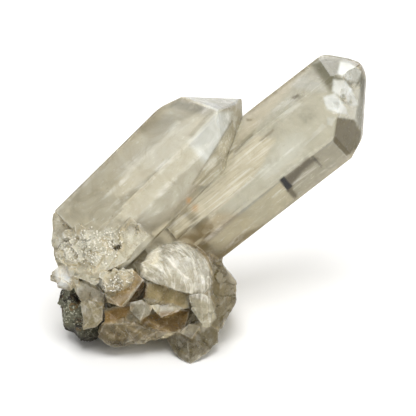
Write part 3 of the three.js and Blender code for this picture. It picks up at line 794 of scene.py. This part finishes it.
def sugarTree(material):
    tree, add, given = startTree("sugarCrust", {
        "Density": "Float", "Radius": "Float", "Height": "Float", "Smallest": "Float", "Largest": "Float",
        "Seed": "Int"})
    sugar = add("GeometryNodeInputNamedAttribute", {"data_type": "FLOAT"}, None, {"Name": "sugar"})
    density = add("ShaderNodeMath", {"operation": "MULTIPLY"},
                  {0: given["Density"], 1: sugar.outputs["Attribute"]})
    points = add("GeometryNodeDistributePointsOnFaces", {"distribute_method": "RANDOM"},
                 {"Mesh": given["Geometry"], "Density": density.outputs[0],
                  "Seed": given["Seed"]})
    grain = add("GeometryNodeMeshCone", None,
                {"Radius Bottom": given["Radius"], "Depth": given["Height"]},
                {"Vertices": 6, "Radius Top": 0.0})
    most = sugarSettings["lean"]
    lean = add("FunctionNodeRandomValue", {"data_type": "FLOAT_VECTOR"}, {"Seed": given["Seed"]},
               {0: (-most, -most, 0.0), 1: (most, most, wholeTurn)})
    turned = add("FunctionNodeRotateRotation", {"rotation_space": "LOCAL"},
                 {"Rotation": points.outputs["Rotation"], "Rotate By": lean.outputs[0]})
    size = add("FunctionNodeRandomValue", {"data_type": "FLOAT"},
               {2: given["Smallest"], 3: given["Largest"], "Seed": given["Seed"]})
    placed = add("GeometryNodeInstanceOnPoints", None,
                 {"Points": points.outputs["Points"], "Instance": grain.outputs["Mesh"],
                  "Rotation": turned.outputs["Rotation"], "Scale": size.outputs[1]})
    real = add("GeometryNodeRealizeInstances", None, {"Geometry": placed.outputs[0]})
    painted = add("GeometryNodeSetMaterial", None, {"Geometry": real.outputs[0]}, {"Material": material})
    tree.links.new(painted.outputs[0], add("NodeGroupOutput").inputs[0])
    return tree


def buildSugar(quartz, material):
    settings = sugarSettings
    piece = grownFrom(quartz.data.copy(), sugarTree(material), "sugar_crust", {
        "Density": settings["perSquareMm"] * 1e6, "Radius": settings["radius"] / 1000.0,
        "Height": settings["height"] / 1000.0, "Smallest": settings["smallest"],
        "Largest": settings["largest"], "Seed": settings["seed"]})
    print("sugar crust:", len(piece.data.polygons), "faces")
    return piece


def sugarMaterial():
    material, flow = startMaterial("sugarQuartz")
    _, mm = flow.places()
    patch = mm.grain(0.5, 3.0, 0.6)
    colour = patch.blended(sugarSettings["cream"], sugarSettings["white"])
    clear = flow.node("ShaderNodeBsdfPrincipled", None, {
        "Base Color": (*quartzLook["clearColour"], 1.0), "IOR": quartzLook["ior"], "Transmission Weight": 1.0,
        "Roughness": 0.08})
    milky = flow.node("ShaderNodeBsdfPrincipled", None, {
        "Base Color": colour, "IOR": quartzLook["ior"], "Roughness": 0.25})
    surface = flow.node("ShaderNodeMixShader", None, {
        0: (0.7 + 0.4 * patch).clipped(0.0, 1.0), 1: clear, 2: milky})
    endMaterial(flow, surface)
    return material


# Thin wavy sheets of trapped bubbles inside the two points
veilSettings = {
    # picture point, mm out towards the eye, and reach in mm
    "places": [(312, 83, -11, 6.5), (288, 98, -10, 5.5), (288, 152, -11, 9.0), (331, 70, -12, 5.5),
               (262, 162, -12, 7.0), (240, 196, -12, 7.0), (302, 115, -10, 6.5), (226, 214, -13, 6.0),
               (318, 118, -14, 7.0), (172, 126, -7, 8.0), (136, 150, -8, 7.0), (152, 174, -8, 9.0),
               (112, 184, -6, 8.0), (206, 136, -6, 6.0), (180, 164, -6, 7.0), (100, 214, -6, 8.0),
               (142, 206, -6, 8.0), (192, 188, -8, 6.0), (90, 196, -8, 6.0)],
    "lean": 0.9,         # radians that a sheet may lean from facing the eye
    "steps": 22,         # points along a sheet's side
    "wave": 0.004,       # m
    "waveScale": 130.0,  # per m
    "seed": 11,
    "inset": 0.7,        # mm kept between a sheet and the crystal's faces
    "white": linear(238, 238, 232),
    "thick": 0.7,        # how much of the light the thickest spots stop
}


def veilMaterial():
    material, flow = startMaterial("veil")
    _, mm = flow.places()
    cloud = mm.grain(0.22, 5.0, 0.62, 0.8)
    bubbles = 0.35 + 0.65 * mm.grain(1.6, 3.0, 0.7).between(0.35, 0.62)
    thickness = veilSettings["thick"] * flow.value("fade") * cloud.between(0.42, 0.68) * bubbles
    surface = flow.node("ShaderNodeBsdfPrincipled", None, {
        "Base Color": (*veilSettings["white"], 1.0), "Roughness": 0.55, "Alpha": thickness.clipped(0.0, 1.0)})
    endMaterial(flow, surface)
    return material


def veilTree(material):
    tree, add, given = startTree("veilSheets", {
        "Steps": "Int", "Wave": "Float", "Wave Scale": "Float", "Lean": "Float", "Seed": "Int"})
    grid = add("GeometryNodeMeshGrid", None,
               {"Vertices X": given["Steps"], "Vertices Y": given["Steps"]},
               {"Size X": 2.0, "Size Y": 2.0})
    spot = add("GeometryNodeInputPosition")
    away = add("ShaderNodeVectorMath", {"operation": "LENGTH"}, {0: spot.outputs[0]})
    fade = add("ShaderNodeMapRange", {"interpolation_type": "SMOOTHSTEP"}, {0: away.outputs[1]},
               {1: 0.35, 2: 1.0, 3: 1.0, 4: 0.0})
    kept = add("GeometryNodeStoreNamedAttribute", {"data_type": "FLOAT", "domain": "POINT"},
               {"Geometry": grid.outputs["Mesh"], "Value": fade.outputs[0]}, {"Name": "fade"})
    less = add("ShaderNodeMath", {"operation": "MULTIPLY"}, {0: given["Lean"]}, {1: -1.0})
    low = add("ShaderNodeCombineXYZ", None, {0: less.outputs[0], 1: less.outputs[0]}, {2: 0.0})
    high = add("ShaderNodeCombineXYZ", None, {0: given["Lean"], 1: given["Lean"]}, {2: wholeTurn})
    lean = add("FunctionNodeRandomValue", {"data_type": "FLOAT_VECTOR"},
               {0: low.outputs[0], 1: high.outputs[0], "Seed": given["Seed"]})
    base = add("FunctionNodeEulerToRotation", None, None,
               {0: (math.radians(90.0 - sight["pitch"]), 0.0, 0.0)})
    turned = add("FunctionNodeRotateRotation", {"rotation_space": "LOCAL"},
                 {"Rotation": base.outputs[0], "Rotate By": lean.outputs[0]})
    reach = add("GeometryNodeInputNamedAttribute", {"data_type": "FLOAT"}, None, {"Name": "reach"})
    placed = add("GeometryNodeInstanceOnPoints", None,
                 {"Points": given["Geometry"], "Instance": kept.outputs[0],
                  "Rotation": turned.outputs["Rotation"], "Scale": reach.outputs["Attribute"]})
    real = add("GeometryNodeRealizeInstances", None, {"Geometry": placed.outputs[0]})
    ripple = add("ShaderNodeTexNoise", None, {"Scale": given["Wave Scale"]}, {"Detail": 2.0})
    centred = add("ShaderNodeVectorMath", {"operation": "SUBTRACT"}, {0: ripple.outputs[1]},
                  {1: (0.5, 0.5, 0.5)})
    shifted = add("ShaderNodeVectorMath", {"operation": "SCALE"},
                  {0: centred.outputs[0], "Scale": given["Wave"]})
    moved = add("GeometryNodeSetPosition", None, {"Geometry": real.outputs[0], "Offset": shifted.outputs[0]})
    painted = add("GeometryNodeSetMaterial", None, {"Geometry": moved.outputs[0]}, {"Material": material})
    tree.links.new(painted.outputs[0], add("NodeGroupOutput").inputs[0])
    return tree


def buildVeils():
    settings = veilSettings
    points = bpy.data.meshes.new("veilPoints")
    points.from_pydata([fromPicture(px, py, out) for px, py, out, _ in settings["places"]], [], [])
    reach = points.attributes.new("reach", "FLOAT", "POINT")
    reach.data.foreach_set("value", [r / 1000.0 for *_, r in settings["places"]])
    piece = grownFrom(points, veilTree(veilMaterial()), "veils", {
        "Steps": settings["steps"], "Wave": settings["wave"], "Wave Scale": settings["waveScale"],
        "Lean": settings["lean"], "Seed": settings["seed"]})
    coords = coordsOf(piece.data)
    depth = np.min([faceDistance(coords, crystalFaces[name]) for name in ("right", "left")], axis=0)
    inside = depth < -settings["inset"]
    bm = bmesh.new()
    bm.from_mesh(piece.data)
    bmesh.ops.delete(bm, geom=[v for v in bm.verts if not inside[v.index]], context="VERTS")
    bm.to_mesh(piece.data)
    bm.free()
    print("veils:", len(piece.data.polygons), "faces")
    return piece


rockShape = {
    "edge": 0.5,                 # mm, longest edge left
    "coarse": (2.4, 0.32, 5.0),  # as for the quartz
    "fine": (0.9, 0.28, 2.0),
    "setIn": 0.35,
    "most": 0.1,                 # mm that the relief may stand out
}


def buildRock():
    shape = rockShape
    piece = denserCopy("host_rock", "rock", lambda middles: np.full(len(middles), shape["edge"]))
    mesh = piece.data
    depths = []
    for p in coordsOf(mesh) * 1000.0:
        relief = brokenDepth(p, *shape["coarse"]) + brokenDepth(p, *shape["fine"])
        depths.append(min(shape["most"], relief - shape["setIn"]))
    moveAlongNormals(mesh, np.array(depths))
    mesh.shade_flat()
    mesh.materials.append(rockMaterial())
    print("rock:", len(mesh.polygons), "faces")
    return piece


quartz = buildQuartz()
sugar = buildSugar(quartz, sugarMaterial())
veils = buildVeils()
rock = buildRock()

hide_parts("quartz_cluster")
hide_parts("host_rock")
for piece, slot in ((quartz, "quartz"), (sugar, "quartz"), (veils, "quartz"), (rock, "rock")):
    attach(piece, "root")


studio = {
    "floor": 3.0,   # m, half its side
    "floorColour": (0.86, 0.86, 0.855, 1.0),
    "worldColour": (0.83, 0.82, 0.80, 1.0),
    "worldStrength": 0.6,
    # name: place, size, power and colour, each aimed at the middle of the object
    "lights": {"key": ((-0.05, -0.3, 1.0), 0.8, 8.5, (1.0, 1.0, 1.0)),
               "right": ((0.7, -0.35, 0.4), 0.45, 1.5, (1.0, 1.0, 1.0)),
               "back": ((-0.1, 0.75, 0.55), 0.6, 4.5, (1.0, 1.0, 1.0)),
               "low": ((0.55, -0.75, 0.12), 0.5, 2.0, (1.0, 0.94, 0.82))},
    "aim": (0.0, 0.0, 0.045),
}


def aimed(obj, place, target):
    obj.location = place
    obj.rotation_mode = "QUATERNION"
    obj.rotation_quaternion = (Vector(target) - Vector(place)).to_track_quat("-Z", "Y")
    bpy.context.scene.collection.objects.link(obj)


def buildStudio():
    bm = bmesh.new()
    bmesh.ops.create_grid(bm, x_segments=2, y_segments=2, size=studio["floor"])
    mesh = bpy.data.meshes.new("floor")
    bm.to_mesh(mesh)
    bm.free()
    floor = bpy.data.objects.new("floor", mesh)
    bpy.context.scene.collection.objects.link(floor)
    material, flow = startMaterial("paleFloor")
    surface = flow.node("ShaderNodeBsdfPrincipled", None, {
        "Base Color": studio["floorColour"], "Roughness": 0.9})
    endMaterial(flow, surface)
    mesh.materials.append(material)
    for name, (place, size, power, colour) in studio["lights"].items():
        lamp = bpy.data.lights.new(name, "AREA")
        lamp.shape, lamp.size, lamp.energy, lamp.color = "DISK", size, power, colour
        aimed(bpy.data.objects.new(name, lamp), place, studio["aim"])
    world = bpy.data.worlds.new("studio")
    bpy.context.scene.world = world
    world.use_nodes = True
    sky = world.node_tree.nodes["Background"].inputs
    sky["Color"].default_value = studio["worldColour"]
    sky["Strength"].default_value = studio["worldStrength"]


def buildCamera():
    middle = sight["side"] / 2
    target = fromPicture(middle, middle)
    lens = bpy.data.cameras.new("eye")
    lens.sensor_width = 36.0
    lens.lens = lens.sensor_width * sight["distance"] / (sight["side"] / sight["perMm"] / 1000.0)
    lens.clip_end = 20.0
    camera = bpy.data.objects.new("eye", lens)
    aimed(camera, target + Vector(eyeOut) * sight["distance"], target)
    bpy.context.scene.camera = camera


buildStudio()
buildCamera()
scene = bpy.context.scene
scene.view_settings.view_transform = "Standard"
scene.cycles.max_bounces = 20
scene.cycles.transmission_bounces = 18
scene.cycles.caustics_reflective = False
print("studio ready")
